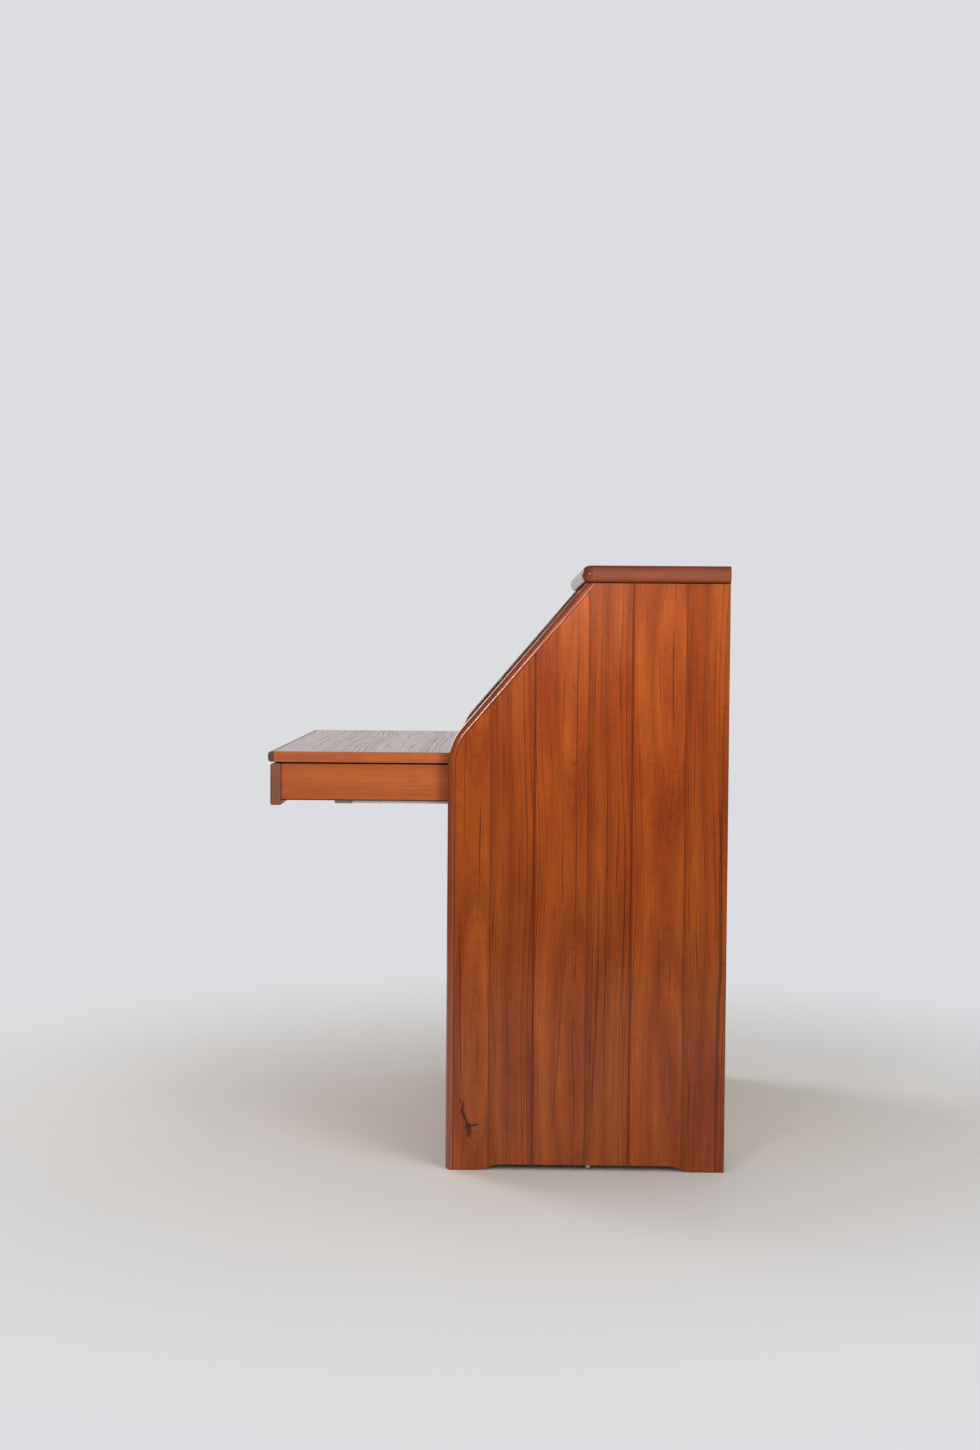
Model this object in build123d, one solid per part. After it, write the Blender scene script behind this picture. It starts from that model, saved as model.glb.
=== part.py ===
from build123d import *
import math
import os

# A slant-front secretary desk in teak. The writing flap lies open on a shallow drawer that is
# pulled out on telescopic slides, with three deep drawers below and pigeonholes behind the slope.
# X runs across the desk, Y from front to back and Z up, in millimetres, from the middle of the floor
# that the open desk covers. A depth is measured backwards from the front edges of the side panels.

# Case
case_width = 900.0
case_depth = 502.0
overall_height = 1090.0
panel_thickness = 22.0
slant_angle = 49.6
slant_start_height = 770.0
slant_corner_radius = 100.0
lipping_width = 13.0
lipping_outer_round = 12.5
lipping_inner_round = 3.0
joint_groove = 0.9
foot_length = 62.0
foot_ramp = 32.0
foot_ramp_round = 60.0
foot_height = 11.0
toe_round = 7.0
board_thickness = 18.0
back_thickness = 8.0
back_rebate = 10.0
lowest_front_height = 40.0
plinth_setback = 45.0
rail_setback = 45.0
deck_rise = 1.0
rail_clearance = 1.5
carcass_top_thickness = 22.0
carcass_top_setback = 5.0
edge_ease = 1.2

# Top
top_thickness = 32.0
top_front_overhang = 8.5
top_rear_overhang = 1.0
top_side_overhang = 1.5
top_nosing_width = 20.0
top_edge_flat = 0.8
top_corner_extra = 1.0

# Writing flap
writing_height = 752.0
flap_thickness = 19.0
flap_top_gap = 2.5
flap_tip_overhang = 4.0
flap_side_gap = 1.5
flap_hinge_gap = 1.0
flap_tip_lipping = 10.5
flap_side_lipping = 9.0
flap_tip_round = 6.0
hinge_depth = 28.5
hinge_offset = 300.0
hinge_length = 50.0
hinge_middle_knuckle = 16.0
hinge_leaf_width = 22.0
hinge_leaf_thickness = 2.0
hinge_knuckle_radius = 3.0
hinge_pin_radius = 1.5
hinge_play = 0.3
pin_play = 0.05
pad_length = 30.0
pad_width = 11.0
pad_inset = 46.0
pad_play = 0.2

# Drawers
front_thickness = 19.0
front_side_gap = 1.5
front_edge_round = 4.0
grip_reach = 7.0
grip_rise = 7.4
grip_height = 9.0
finger_gap = 18.0
drawer_side_thickness = 12.0
drawer_back_thickness = 12.0
drawer_back_drop = 8.0
drawer_bottom_thickness = 5.0
drawer_bottom_rise = 8.0
drawer_groove_depth = 5.0
drawer_groove_play = 0.2
drawer_rear_clearance = 22.0
flap_rest_gap = 3.0
writing_drawer_height = 75.0
writing_side_gap = 6.0
lower_drawer_count = 3
lower_side_drop = 28.0
lower_side_gap = 1.0
runner_height = 18.0
runner_reach = 6.0
runner_play = 0.4
runner_front = 45.0

# Telescopic slides
slide_inset = 12.0
slide_half_width = 11.0
slide_sheet = 1.2
slide_play = 0.6
slide_tube_gap = 1.0
slide_wall_height = 8.0
slide_rear_clearance = 9.0
slide_closed_front = 27.0
runner_lag = 88.0
shoe_length = 32.0
shoe_spigot = 14.0
shoe_play = 0.3

# Pigeonholes
pigeonhole_setback = 35.0
divider_thickness = 10.0
middle_bay_width = 310.0
inner_drawer_height = 62.0
inner_drawer_gap = 1.5
inner_drawer_play = 0.3
inner_rear_clearance = 18.0
inner_front_thickness = 12.0
inner_wall = 7.0
inner_floor = 4.0
inner_front_round = 2.0
letter_shelf_drop = 142.0
knob_radius = 9.0
knob_reach = 17.0
knob_rim = 5.0
knob_chamfer = 2.0
knob_neck_radius = 4.0
knob_neck_length = 4.0
knob_stem_radius = 2.5
knob_stem_play = 0.1

# Places that follow from the sizes above
outer_x = case_width / 2
inner_x = outer_x - panel_thickness
panel_height = overall_height - top_thickness
slant = math.radians(slant_angle)
slant_top_depth = (panel_height - slant_start_height) / math.tan(slant)
top_front_depth = slant_top_depth - top_front_overhang
carcass_top_front = slant_top_depth + carcass_top_setback
carcass_top_underside = panel_height - carcass_top_thickness
pigeonhole_front = carcass_top_front + pigeonhole_setback
back_depth = case_depth - back_thickness
bed_underside = writing_height - flap_thickness
flap_rise = carcass_top_underside - flap_top_gap - flap_thickness * math.cos(slant) - writing_height
flap_projection = flap_rise / math.sin(slant) - hinge_depth
writing_drawer_travel = flap_projection - flap_tip_overhang
front_y = (flap_projection - case_depth - top_rear_overhang) / 2
writing_drawer_top = bed_underside - flap_rest_gap
writing_drawer_bottom = writing_drawer_top - writing_drawer_height
deck_top = writing_drawer_bottom + deck_rise
deck_underside = deck_top - board_thickness
bottom_board_top = lowest_front_height + grip_height - rail_clearance
bottom_board_underside = bottom_board_top - board_thickness
lower_pitch = (writing_drawer_bottom - lowest_front_height) / lower_drawer_count
lower_front_height = lower_pitch - finger_gap

os.makedirs("parts", exist_ok=True)


# Helpers
def block(x, depth, z):
    """A board given by its extents across, behind the front edges and in height."""
    size = (x[1] - x[0], depth[1] - depth[0], z[1] - z[0])
    middle = (sum(x) / 2, front_y + sum(depth) / 2, sum(z) / 2)
    return Pos(*middle) * Box(*size)


def side_face(points):
    """A face in the side view, through points of depth and height."""
    return make_face(Polyline(*[(front_y + depth, z) for depth, z in points], close=True))


def across(face, x):
    """A side-view face made solid between two places across the desk."""
    return extrude(Plane.YZ.offset(x[0]) * face, x[1] - x[0])


def rod(x, depth, z, radius):
    """A cylinder along X."""
    place = Plane(origin=(x[0], front_y + depth, z), z_dir=(1, 0, 0))
    return extrude(place * Circle(radius), x[1] - x[0])


def mirrored(shape):
    return mirror(shape, about=Plane.YZ)


def eased(board, facing, end, along):
    """A board with the edges of one end face softened along one direction."""
    return fillet(board.faces().sort_by(facing)[end].edges().filter_by(along), edge_ease)


def save(name, *solids):
    shape = solids[0] if len(solids) == 1 else Compound(list(solids))
    export_step(shape, f"parts/{name}.step")


# Side panels
def slant_depth(z, inset):
    """The depth of the sloping edge at a height, moved square to itself into the panel."""
    return (z - slant_start_height) / math.tan(slant) + inset / math.sin(slant)


def panel_outline(inset):
    """The panel's side view, with its front and sloping edges moved in."""
    corner_rise = (inset - slant_depth(slant_start_height, inset)) * math.tan(slant)
    corner = (inset, slant_start_height + corner_rise)
    ramp_end = foot_length + foot_ramp
    ramp = [
        (foot_length, 0),
        (ramp_end, foot_height),
        (case_depth - ramp_end, foot_height),
        (case_depth - foot_length, 0),
    ]
    rear = [(case_depth, 0), (case_depth, panel_height)]
    slant_top = (slant_depth(panel_height, inset), panel_height)
    face = side_face([(inset, 0), *ramp, *rear, slant_top, corner])
    face = fillet(vertices_at(face, [corner]), slant_corner_radius - inset)
    return fillet(vertices_at(face, ramp), foot_ramp_round)


def vertices_at(face, points):
    found = []
    for depth, z in points:
        found.append(face.vertices().sort_by_distance((front_y + depth, z))[0])
    return found


def side_panel():
    """The veneered panel, rebated for the back."""
    panel = across(panel_outline(lipping_width), (inner_x, outer_x))
    rebate_z = (bottom_board_underside, panel_height)
    return panel - block((inner_x, inner_x + back_rebate), (back_depth, case_depth), rebate_z)


def side_lipping(panel):
    """The solid strip on the front and sloping edges, rounded over on both faces."""
    outline = panel_outline(0)
    strip = across(outline - panel_outline(lipping_width), (inner_x, outer_x))
    for x, radius in ((outer_x, lipping_outer_round), (inner_x, lipping_inner_round)):
        on_face = strip.edges().filter_by_position(Axis.X, x, x)
        outside = [edge for edge in on_face if panel.distance_to(edge @ 0.5) > lipping_width * 0.9]
        strip = fillet(outside, radius)
    toe = fillet(vertices_at(outline, [(0, 0)]), toe_round)
    return strip & across(toe, (inner_x, outer_x))


def joint_edges(panel, strip):
    """The panel's outer edges that lie against the strip."""
    on_face = panel.edges().filter_by_position(Axis.X, outer_x, outer_x)
    return [edge for edge in on_face if strip.distance_to(edge @ 0.5) < joint_groove]


right_panel = side_panel()
right_lipping = side_lipping(right_panel)
right_panel = chamfer(joint_edges(right_panel, right_lipping), joint_groove)
save("side_panel_right", right_panel)
save("side_panel_left", mirrored(right_panel))
save("side_lipping_right", right_lipping)
save("side_lipping_left", mirrored(right_lipping))

# Top: one round-edged slab, glued up from a core, a front nosing and two side nosings
top_x = outer_x + top_side_overhang
top_rear = case_depth + top_rear_overhang
top_z = (panel_height, overall_height)
edge_round = (top_thickness - top_edge_flat) / 2

slab = block((-top_x, top_x), (top_front_depth, top_rear), top_z)
slab = fillet(slab.edges().filter_by(Axis.Z).group_by(Axis.Y)[0], edge_round + top_corner_extra)
rear_edges = slab.faces().sort_by(Axis.Y)[-1].edges()
flat_faces = slab.faces().filter_by(Axis.Z)
round_edges = [edge for face in flat_faces for edge in face.edges() if edge not in rear_edges]
slab = fillet(round_edges, edge_round)

nosing_back = top_front_depth + top_nosing_width
core_x = top_x - top_nosing_width
save("top_front_nosing", slab & block((-top_x, top_x), (top_front_depth, nosing_back), top_z))
save("top_core", slab & block((-core_x, core_x), (nosing_back, top_rear), top_z))
right_nosing = slab & block((core_x, top_x), (nosing_back, top_rear), top_z)
save("top_side_nosings", right_nosing, mirrored(right_nosing))

# Boards of the case
inside = (-inner_x, inner_x)
carcass_top = block(inside, (carcass_top_front, back_depth), (carcass_top_underside, panel_height))
save("carcass_top", eased(carcass_top, Axis.Y, 0, Axis.X))
save("drawer_deck", block(inside, (rail_setback, back_depth), (deck_underside, deck_top)))
save("bottom_board", block(inside, (rail_setback, back_depth), (bottom_board_underside, bottom_board_top)))
plinth_depth = (plinth_setback, plinth_setback + board_thickness)
save("plinth_rail", block(inside, plinth_depth, (foot_height, bottom_board_underside)))
back_x = inner_x + back_rebate
back_z = (bottom_board_underside, panel_height)
save("back_panel", block((-back_x, back_x), (back_depth, case_depth), back_z))

rail_depth = (rail_setback, rail_setback + board_thickness)
for number in range(1, lower_drawer_count):
    rail_top = lowest_front_height + number * lower_pitch - rail_clearance
    rail_bottom = rail_top - finger_gap + 2 * rail_clearance
    save(f"drawer_rail_{number}", eased(block(inside, rail_depth, (rail_bottom, rail_top)), Axis.Y, 0, Axis.X))


# Flap hinges: two pairs of leaves let in flush, with the pin on the line of the writing surface
def hinge_centres():
    return (-hinge_offset, hinge_offset)


def knuckle_line(centre, half_length, radius):
    return rod((centre - half_length, centre + half_length), hinge_depth, writing_height, radius)


def hinge_recess():
    """What is cut from the bed and the flap for the leaves and their knuckles."""
    half = hinge_length / 2 + hinge_play
    reach = hinge_leaf_width + hinge_play
    recess = []
    for centre in hinge_centres():
        across_leaf = (centre - half, centre + half)
        leaf_depth = (hinge_depth - reach, hinge_depth + reach)
        recess.append(block(across_leaf, leaf_depth, (writing_height - hinge_leaf_thickness, writing_height)))
        recess.append(knuckle_line(centre, half, hinge_knuckle_radius + 2 * hinge_play))
    return recess


def hinge_leaf(centre, side, middle):
    """A leaf behind (side 1) or ahead (side -1) of the pin, with its middle or its outer knuckles."""
    half = hinge_length / 2
    half_middle = hinge_middle_knuckle / 2
    depth = sorted((hinge_depth, hinge_depth + side * hinge_leaf_width))
    leaf_z = (writing_height - hinge_leaf_thickness, writing_height)
    plate = block((centre - half, centre + half), depth, leaf_z)
    clear = hinge_knuckle_radius + hinge_play
    if middle:
        outer = knuckle_line(centre, half, clear) - knuckle_line(centre, half_middle, clear + hinge_play)
        leaf = plate - outer + knuckle_line(centre, half_middle, hinge_knuckle_radius)
    else:
        gap = knuckle_line(centre, half_middle + hinge_play, clear)
        leaf = plate + knuckle_line(centre, half, hinge_knuckle_radius) - gap
    return leaf - knuckle_line(centre, half, hinge_pin_radius + pin_play)


save("hinge_bed_leaves", *[hinge_leaf(centre, 1, False) for centre in hinge_centres()])
save("hinge_flap_leaves", *[hinge_leaf(centre, -1, True) for centre in hinge_centres()])
save("hinge_pins", *[knuckle_line(centre, hinge_length / 2, hinge_pin_radius) for centre in hinge_centres()])

# Writing bed and flap
bed_front = hinge_depth + flap_hinge_gap / 2
bed_z = (bed_underside, writing_height)
save("writing_bed", block(inside, (bed_front, back_depth), bed_z) - hinge_recess())

flap_x = inner_x - flap_side_gap
flap_rear = hinge_depth - flap_hinge_gap / 2
tip_back = flap_tip_lipping - flap_projection
flap_core_x = flap_x - flap_side_lipping
flap_body_depth = (tip_back, flap_rear)
save("flap_core", block((-flap_core_x, flap_core_x), flap_body_depth, bed_z) - hinge_recess())
flap_edge = eased(block((flap_core_x, flap_x), flap_body_depth, bed_z), Axis.X, -1, Axis.Y)
save("flap_side_lippings", flap_edge, mirrored(flap_edge))
flap_tip = block((-flap_x, flap_x), (-flap_projection, tip_back), bed_z)
tip_edges = flap_tip.faces().sort_by(Axis.Y)[0].edges().filter_by(Axis.X)
save("flap_tip_lipping", fillet(tip_edges, flap_tip_round))


# Drawers
def drawer_front(half_width, face_depth, bottom, height):
    """A front with eased edges and, low on its back, a sloping toe to pull it by."""
    back = face_depth + front_thickness
    toe = back + grip_reach
    points = [
        (face_depth, bottom),
        (back, bottom),
        (toe, bottom + grip_rise),
        (toe, bottom + grip_height),
        (back, bottom + grip_height),
        (back, bottom + height),
        (face_depth, bottom + height),
    ]
    front = across(side_face(points), (-half_width, half_width))
    return fillet(front.faces().sort_by(Axis.Y)[0].edges(), front_edge_round)


def build_drawer(name, bottom, height, side_height, side_gap, pulled_out, grooved):
    """A drawer of five boards, its bottom held in grooves in the front and sides."""
    face_depth = -pulled_out
    front_back = face_depth + front_thickness
    rear = back_depth - drawer_rear_clearance - pulled_out
    side_x = inner_x - side_gap
    wall_x = side_x - drawer_side_thickness
    side_bottom = bottom + grip_height
    side_top = side_bottom + side_height
    floor = side_bottom + drawer_bottom_rise
    floor_top = floor + drawer_bottom_thickness
    panel_x = wall_x + drawer_groove_depth
    panel_depth = (front_back - drawer_groove_depth, rear)
    groove_x = panel_x + drawer_groove_play
    groove_depth = (panel_depth[0] - drawer_groove_play, rear)
    groove = block((-groove_x, groove_x), groove_depth, (floor, floor_top + drawer_groove_play))

    side = block((wall_x, side_x), (front_back, rear), (side_bottom, side_top))
    side = eased(side, Axis.Z, -1, Axis.Y) - groove
    if grooved:
        middle = (side_bottom + side_top) / 2
        half = runner_height / 2 + runner_play
        reach = (side_x - runner_reach - runner_play, side_x)
        side -= block(reach, (runner_front - runner_play, rear), (middle - half, middle + half))
    back_z = (floor_top + drawer_groove_play, side_top - drawer_back_drop)
    save(f"{name}_front", drawer_front(inner_x - front_side_gap, face_depth, bottom, height) - groove)
    save(f"{name}_side_right", side)
    save(f"{name}_side_left", mirrored(side))
    back = block((-wall_x, wall_x), (rear - drawer_back_thickness, rear), back_z)
    save(f"{name}_back", eased(back, Axis.Z, -1, Axis.X))
    save(f"{name}_bottom", block((-panel_x, panel_x), panel_depth, (floor, floor_top)))


writing_side_height = writing_drawer_height - grip_height
build_drawer(
    "writing_drawer",
    writing_drawer_bottom,
    writing_drawer_height,
    writing_side_height,
    writing_side_gap,
    writing_drawer_travel,
    grooved=False,
)

lower_side_height = lower_front_height - grip_height - lower_side_drop
runners = []
for number in range(1, lower_drawer_count + 1):
    bottom = lowest_front_height + (lower_drawer_count - number) * lower_pitch
    height = lower_front_height
    build_drawer(f"lower_drawer_{number}", bottom, height, lower_side_height, lower_side_gap, 0, grooved=True)
    middle = bottom + grip_height + lower_side_height / 2
    runner_x = (inner_x - lower_side_gap - runner_reach, inner_x)
    runner_z = (middle - runner_height / 2, middle + runner_height / 2)
    runner = block(runner_x, (runner_front, back_depth), runner_z)
    runners += [runner, mirrored(runner)]
save("lower_drawer_runners", *runners)

# Felt pads on the writing drawer's front, under the flap
pad_x = (inner_x - pad_inset - pad_length, inner_x - pad_inset)
pad_middle = front_thickness / 2 - writing_drawer_travel
pad_depth = (pad_middle - pad_width / 2, pad_middle + pad_width / 2)
pad = block(pad_x, pad_depth, (writing_drawer_top, bed_underside - pad_play))
save("flap_rest_pads", pad, mirrored(pad))

# Telescopic slides below the writing drawer: a channel on the deck, an inverted channel under the
# drawer and, nested in both, a tube that runs out part of the way
slide_x = inner_x - writing_side_gap - drawer_side_thickness - slide_inset
slide_ceiling = writing_drawer_bottom + grip_height + drawer_bottom_rise


def channel(half_width, depth, z, upright):
    """A folded sheet channel, open upwards or downwards."""
    outside = block((slide_x - half_width, slide_x + half_width), depth, z)
    inner_half = half_width - slide_sheet
    hollow_z = (z[0] + slide_sheet, z[1]) if upright else (z[0], z[1] - slide_sheet)
    return outside - block((slide_x - inner_half, slide_x + inner_half), depth, hollow_z)


def tube(half_width, depth, z):
    inner_half = half_width - slide_sheet
    hollow = block(
        (slide_x - inner_half, slide_x + inner_half), depth, (z[0] + slide_sheet, z[1] - slide_sheet)
    )
    return block((slide_x - half_width, slide_x + half_width), depth, z) - hollow


slide_length = back_depth - slide_rear_clearance - rail_setback
case_rail_depth = (rail_setback, rail_setback + slide_length)
case_rail = channel(slide_half_width, case_rail_depth, (deck_top, deck_top + slide_wall_height), True)
save("slide_case_rails", case_rail, mirrored(case_rail))

drawer_rail_half = slide_half_width - slide_sheet - slide_play
drawer_rail_front = slide_closed_front - writing_drawer_travel
drawer_rail_depth = (drawer_rail_front, drawer_rail_front + slide_length)
drawer_rail_z = (slide_ceiling - slide_wall_height, slide_ceiling)
drawer_rail = channel(drawer_rail_half, drawer_rail_depth, drawer_rail_z, False)
save("slide_drawer_rails", drawer_rail, mirrored(drawer_rail))

runner_half = drawer_rail_half - slide_sheet - slide_play
tube_front = drawer_rail_front + runner_lag + shoe_length
tube_depth = (tube_front, tube_front + slide_length - 2 * shoe_length)
tube_z = (deck_top + slide_sheet + slide_tube_gap, slide_ceiling - slide_sheet - slide_tube_gap)
runner_tube = tube(runner_half, tube_depth, tube_z)
save("slide_runners", runner_tube, mirrored(runner_tube))

# Nylon shoes close both ends of each runner and slide in the rails
shoe_half = drawer_rail_half - slide_sheet - shoe_play
shoe_z = (deck_top + slide_sheet + shoe_play, slide_ceiling - slide_sheet - shoe_play)
spigot_half = runner_half - slide_sheet
spigot_x = (slide_x - spigot_half, slide_x + spigot_half)
spigot_z = (tube_z[0] + slide_sheet, tube_z[1] - slide_sheet)
shoes = []
for end, side in ((tube_depth[0], -1), (tube_depth[1], 1)):
    body_depth = sorted((end, end + side * shoe_length))
    spigot_depth = sorted((end, end - side * shoe_spigot))
    shoe = block((slide_x - shoe_half, slide_x + shoe_half), body_depth, shoe_z)
    shoe += block(spigot_x, spigot_depth, spigot_z)
    shoes += [shoe, mirrored(shoe)]
save("slide_shoes", *shoes)

# Pigeonholes between the bed and the carcass top
bay_x = middle_bay_width / 2
hole_depth = (pigeonhole_front, back_depth)
divider = block((bay_x, bay_x + divider_thickness), hole_depth, (writing_height, carcass_top_underside))
divider = eased(divider, Axis.Y, 0, Axis.Z)
save("bay_divider_right", divider)
save("bay_divider_left", mirrored(divider))

side_bay = (bay_x + divider_thickness, inner_x)
shelf_bottom = writing_height + inner_drawer_height + 2 * inner_drawer_gap
shelf = eased(block(side_bay, hole_depth, (shelf_bottom, shelf_bottom + divider_thickness)), Axis.Y, 0, Axis.X)
save("drawer_shelf_right", shelf)
save("drawer_shelf_left", mirrored(shelf))
letter_top = carcass_top_underside - letter_shelf_drop
letter_z = (letter_top - divider_thickness, letter_top)
save("letter_shelf", eased(block((-bay_x, bay_x), hole_depth, letter_z), Axis.Y, 0, Axis.X))


# Small drawers, each a front with a turned knob and a plain tray
def knob(x, depth, z):
    """A turned knob with a chamfered head on a flared neck, and its stem, its axis pointing forwards."""
    rim_front = knob_reach - knob_chamfer
    profile = Polyline(
        (0, knob_reach),
        (0, -inner_front_thickness),
        (knob_stem_radius, -inner_front_thickness),
        (knob_stem_radius, 0),
        (knob_neck_radius, 0),
        (knob_neck_radius, knob_neck_length),
        (knob_radius, rim_front - knob_rim),
        (knob_radius, rim_front),
        (knob_radius - knob_chamfer, knob_reach),
        close=True,
    )
    turned = revolve(Plane.XZ * make_face(profile), Axis.Z)
    return Pos(x, front_y + depth, z) * Rot(X=90) * turned


inner_x_range = (side_bay[0] + inner_drawer_gap, side_bay[1] - inner_drawer_gap)
inner_z = (writing_height + inner_drawer_gap, writing_height + inner_drawer_gap + inner_drawer_height)
inner_front_back = pigeonhole_front + inner_front_thickness
inner_middle_x = sum(inner_x_range) / 2
inner_middle_z = sum(inner_z) / 2

inner_front = block(inner_x_range, (pigeonhole_front, inner_front_back), inner_z)
inner_front = fillet(inner_front.faces().sort_by(Axis.Y)[0].edges(), inner_front_round)
stem_hole = Cylinder(knob_stem_radius + knob_stem_play, 2 * inner_front_thickness + 1)
inner_front -= Pos(inner_middle_x, front_y + inner_front_back, inner_middle_z) * Rot(X=90) * stem_hole
tray_depth = (inner_front_back, back_depth - inner_rear_clearance)
tray_z = (writing_height + inner_drawer_play, inner_z[1] - inner_wall)
tray = block(inner_x_range, tray_depth, tray_z) - block(
    (inner_x_range[0] + inner_wall, inner_x_range[1] - inner_wall),
    (tray_depth[0] + inner_wall, tray_depth[1] - inner_wall),
    (tray_z[0] + inner_floor, tray_z[1]),
)
inner_knob = knob(inner_middle_x, pigeonhole_front, inner_middle_z)
for side, place in (("right", lambda shape: shape), ("left", mirrored)):
    save(f"inner_drawer_{side}_front", place(inner_front))
    save(f"inner_drawer_{side}_tray", place(tray))
    save(f"inner_drawer_{side}_knob", place(inner_knob))
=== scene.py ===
# %% [markdown]
# # A teak secretary desk
#
# The desk arrives as a finished construction: boards, drawers, slides and hinges at their real size.
# Here it gets its looks. We load that construction as a fixed frame, give every board the wood that
# it is cut from, add the small fasteners, and then light and photograph it from its right-hand side.
# Everything is in metres, with Z up, Y running from the desk's front to its back and X across it.

# %% Load the frame
import math

import bpy
from mathutils import Matrix, Vector


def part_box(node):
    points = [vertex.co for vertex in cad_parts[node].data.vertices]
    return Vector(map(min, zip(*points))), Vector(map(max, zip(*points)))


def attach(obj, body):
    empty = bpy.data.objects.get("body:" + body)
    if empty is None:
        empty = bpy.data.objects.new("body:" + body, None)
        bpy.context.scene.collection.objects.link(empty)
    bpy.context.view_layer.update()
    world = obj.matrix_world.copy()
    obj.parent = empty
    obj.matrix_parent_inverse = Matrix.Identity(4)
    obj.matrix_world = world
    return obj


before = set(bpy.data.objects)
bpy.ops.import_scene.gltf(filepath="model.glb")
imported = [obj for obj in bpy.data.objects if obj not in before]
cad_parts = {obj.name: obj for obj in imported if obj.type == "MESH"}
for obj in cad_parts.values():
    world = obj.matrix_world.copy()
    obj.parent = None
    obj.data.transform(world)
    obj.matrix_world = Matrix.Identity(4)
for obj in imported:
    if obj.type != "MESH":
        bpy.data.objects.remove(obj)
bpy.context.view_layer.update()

millimetre = 0.001

# %% [markdown]
# ## Helpers for materials
#
# Colours are easiest to pick as the hex codes of a picture, which are sRGB, while a shader wants
# linear light, so one function turns the first into the second. A second function adds a shader
# node, sets its options and fills its inputs, either with a plain value or with a link from another
# node. Clicking the same nodes together in the shader editor would do too, but as text the recipe
# can be read in order. Two more start an empty material and set the stops of a ramp.


# %% Colour and node helpers
def linear(code):
    """A hex colour such as #9A4A20 as linear red, green, blue and alpha."""
    shares = [int(code[place:place + 2], 16) / 255 for place in (1, 3, 5)]
    return [s / 12.92 if s <= 0.04045 else ((s + 0.055) / 1.055) ** 2.4 for s in shares] + [1.0]


def node(tree, kind, inputs=None, **settings):
    """Adds one node, with its options and with values or links on its inputs."""
    made = tree.nodes.new(kind)
    for name, value in settings.items():
        setattr(made, name, value)
    for key, value in (inputs or {}).items():
        if isinstance(value, bpy.types.NodeSocket):
            tree.links.new(value, made.inputs[key])
        else:
            made.inputs[key].default_value = value
    return made


def start_material(name):
    """An empty material with its shader, its node tree and the object's own coordinates."""
    material = bpy.data.materials.new(name)
    material.use_nodes = True
    tree = material.node_tree
    shader = tree.nodes["Principled BSDF"]
    place = node(tree, "ShaderNodeTexCoord")
    return material, tree, shader, place


def fill_ramp(ramp, stops):
    """Sets a ramp's stops, each a place and a grey."""
    elements = ramp.color_ramp.elements
    while len(elements) < len(stops):
        elements.new(1.0)
    for element, (place, grey) in zip(elements, stops):
        element.position = place
        element.color = (grey, grey, grey, 1.0)


teak_middle = "#8A360D"
print("oiled teak, middle tone:", [round(share, 3) for share in linear(teak_middle)[:3]])

# %% [markdown]
# ## Teak veneer
#
# The big boards are faced with teak veneer: thin leaves sliced one after another from the same log
# and laid side by side, so that their figure repeats. Each leaf is a slice through the tree's rings.
# Where the slice runs near the rings' crown the lines are far apart and close into pointed arches,
# and towards the leaf's other edge they run straight and close together. A stretched noise could
# give streaks, but never an arch that closes. So the rings are worked out: how far a point of the
# leaf lies from the tree's heart, divided by the width of a ring. The heart wanders in and out along
# the leaf, which makes the arches. A stretched noise still serves for what is only streaky. Teak
# also has thin dark veins of pigment that run with the grain and fade in and out. They stand in
# rows, about a centimetre apart, and chance leaves half of the rows bare. Oiled teak is satin: its
# pores keep it from shining, but at a low angle it still mirrors the room. On the flap, which the
# camera skims, the lines of the rings are also duller than the wood between them, so the grain
# shows through the mirror image.

# %% Streaky noise and pigment veins
noise_middle = 0.5


def grain_noise(tree, place, along, size, detail):
    """A streaky noise, with its size along the grain and its size across it."""
    length, width = size
    scale = Vector((1 / width, 1 / width, 1 / width))
    scale["XYZ".index(along)] = 1 / length
    space = node(tree, "ShaderNodeMapping", {"Vector": place.outputs["Object"], "Scale": scale})
    noise = node(tree, "ShaderNodeTexNoise", {"Vector": space.outputs[0], "Scale": 1.0,
                                              "Detail": detail})
    return noise.outputs[0]


def facing_share(tree, place, axis):
    """How squarely a face looks along an axis, either way: from 0 to 1."""
    facing = node(tree, "ShaderNodeSeparateXYZ", {0: place.outputs["Normal"]})
    share = node(tree, "ShaderNodeMath", {0: facing.outputs[axis]}, operation="ABSOLUTE")
    return share.outputs[0]


vein_spacing = 11 * millimetre
vein_drift = 24 * millimetre
vein_wave = (330 * millimetre, 70 * millimetre)
vein_piece = (160 * millimetre, 9 * millimetre)
vein_profile = ((0.42, 0.0), (0.48, 1.0), (0.54, 1.0), (0.6, 0.0))
bare_rows = 0.5


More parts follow.
